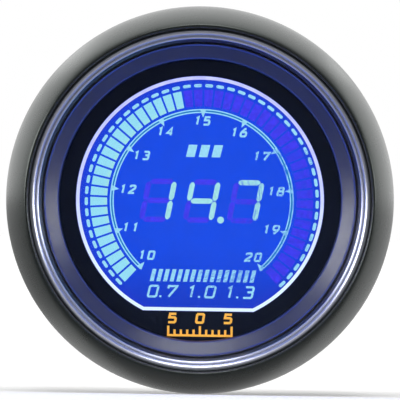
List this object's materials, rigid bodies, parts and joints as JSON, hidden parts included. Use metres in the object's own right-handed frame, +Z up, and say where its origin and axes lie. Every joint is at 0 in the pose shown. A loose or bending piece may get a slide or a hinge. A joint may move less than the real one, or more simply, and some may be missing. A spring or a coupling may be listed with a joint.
{
  "type": "air fuel ratio gauge",
  "caption": "Round panel gauge with a satin bezel, clear lens, blue segmented liquid-crystal dial, cup case, rear socket, clamp bracket and thumb nuts.",
  "frame": {"origin": "on the gauge's axis, in the plane of the bezel's rear seat, which lies on the panel and where the body that fills the panel's hole begins", "axes": "-Y points out of the face towards the viewer, +Y along the body and studs behind the panel, +Z up with the readout upright, +X to the viewer's right"},
  "size_m": [0.06, 0.057, 0.06],
  "materials": {
    "bezel_satin": "satin charcoal paint",
    "trim_polished": "polished, fine turned lines",
    "lens_clear": "clear, polished",
    "seal_rubber": "matte",
    "visor_satin": "satin smoke grey",
    "mask_black": "matte black",
    "border_lit": "edge-lit pale lavender",
    "polariser_film": "clear film",
    "plate_glass": "clear plate glass",
    "marks_lit": "lit pale cyan",
    "bars_lit": "lit pale cyan",
    "digits_lit": "lit pale cyan",
    "segments_unlit": "unlit violet",
    "crystal_blue": "backlit blue field",
    "diffuser_white": "frosted sheet",
    "guide_acrylic": "clear acrylic",
    "reflector_white": "white film",
    "frame_white": "moulded",
    "lamp_amber": "phosphor filled",
    "contact_tin": "tinned",
    "contact_gold": "gold flash",
    "board_green": "solder mask",
    "chip_black": "moulded epoxy",
    "header_black": "moulded",
    "capacitor_can": "drawn can",
    "resistor_ceramic": "glazed",
    "crystal_can": "pressed can",
    "screw_zinc": "zinc plated",
    "socket_white": "natural nylon",
    "case_black": "fine moulded texture",
    "stud_zinc": "zinc plated",
    "bracket_zinc": "zinc plated strip",
    "nut_brass": "turned and ridged"
  },
  "bodies": {
    "gauge": {"bezel_ring": "bezel_satin", "trim_ring": "trim_polished", "lens": "lens_clear", "lens_seal": "seal_rubber", "visor": "visor_satin", "dial_mask": "mask_black", "window_border": "border_lit", "front_polariser": "polariser_film", "front_glass": "plate_glass", "scale_dashes": "marks_lit", "lit_bars": "bars_lit", "unlit_bars": "segments_unlit", "scale_lines": "marks_lit", "lit_digits": "digits_lit", "unlit_digits": "segments_unlit", "crystal_layer": "crystal_blue", "rear_glass": "plate_glass", "rear_polariser": "polariser_film", "diffuser_sheet": "diffuser_white", "light_guide": "guide_acrylic", "reflector_sheet": "reflector_white", "display_frame": "frame_white", "backlight_lamps": "lamp_amber", "glass_contacts": "contact_tin", "display_board": "board_green", "display_driver": "chip_black", "frame_screws": "screw_zinc", "header_socket": "header_black", "header_pins": "contact_gold", "main_board": "board_green", "controller_chip": "chip_black", "voltage_regulator": "chip_black", "capacitors": "capacitor_can", "chip_resistors": "resistor_ceramic", "timing_crystal": "crystal_can", "board_screws": "screw_zinc", "socket_shell": "socket_white", "socket_contacts": "contact_tin", "rear_case": "case_black", "mounting_studs": "stud_zinc"},
    "clamp": {"clamp_bracket": "bracket_zinc", "clamp_washers": "stud_zinc"},
    "left_nut": {"left_thumb_nut": "nut_brass"},
    "right_nut": {"right_thumb_nut": "nut_brass"}
  },
  "joints": [
    {"name": "clamp_slide", "type": "slide", "parent": "gauge", "child": "clamp", "axis": [0, 1, 0], "range_m": [-0.0048, 0.004]},
    {"name": "left_nut_spin", "type": "hinge", "parent": "clamp", "child": "left_nut", "pos_m": [-0.016, 0.0394, 0], "axis": [0, 1, 0], "range_deg": [-2470, 2060]},
    {"name": "right_nut_spin", "type": "hinge", "parent": "clamp", "child": "right_nut", "pos_m": [0.016, 0.0394, 0], "axis": [0, 1, 0], "range_deg": [-2470, 2060]}
  ],
  "couplings": [
    {"joint": "left_nut_spin", "follows": "clamp_slide", "rad_per_m": 8976},
    {"joint": "right_nut_spin", "follows": "clamp_slide", "rad_per_m": 8976}
  ]
}
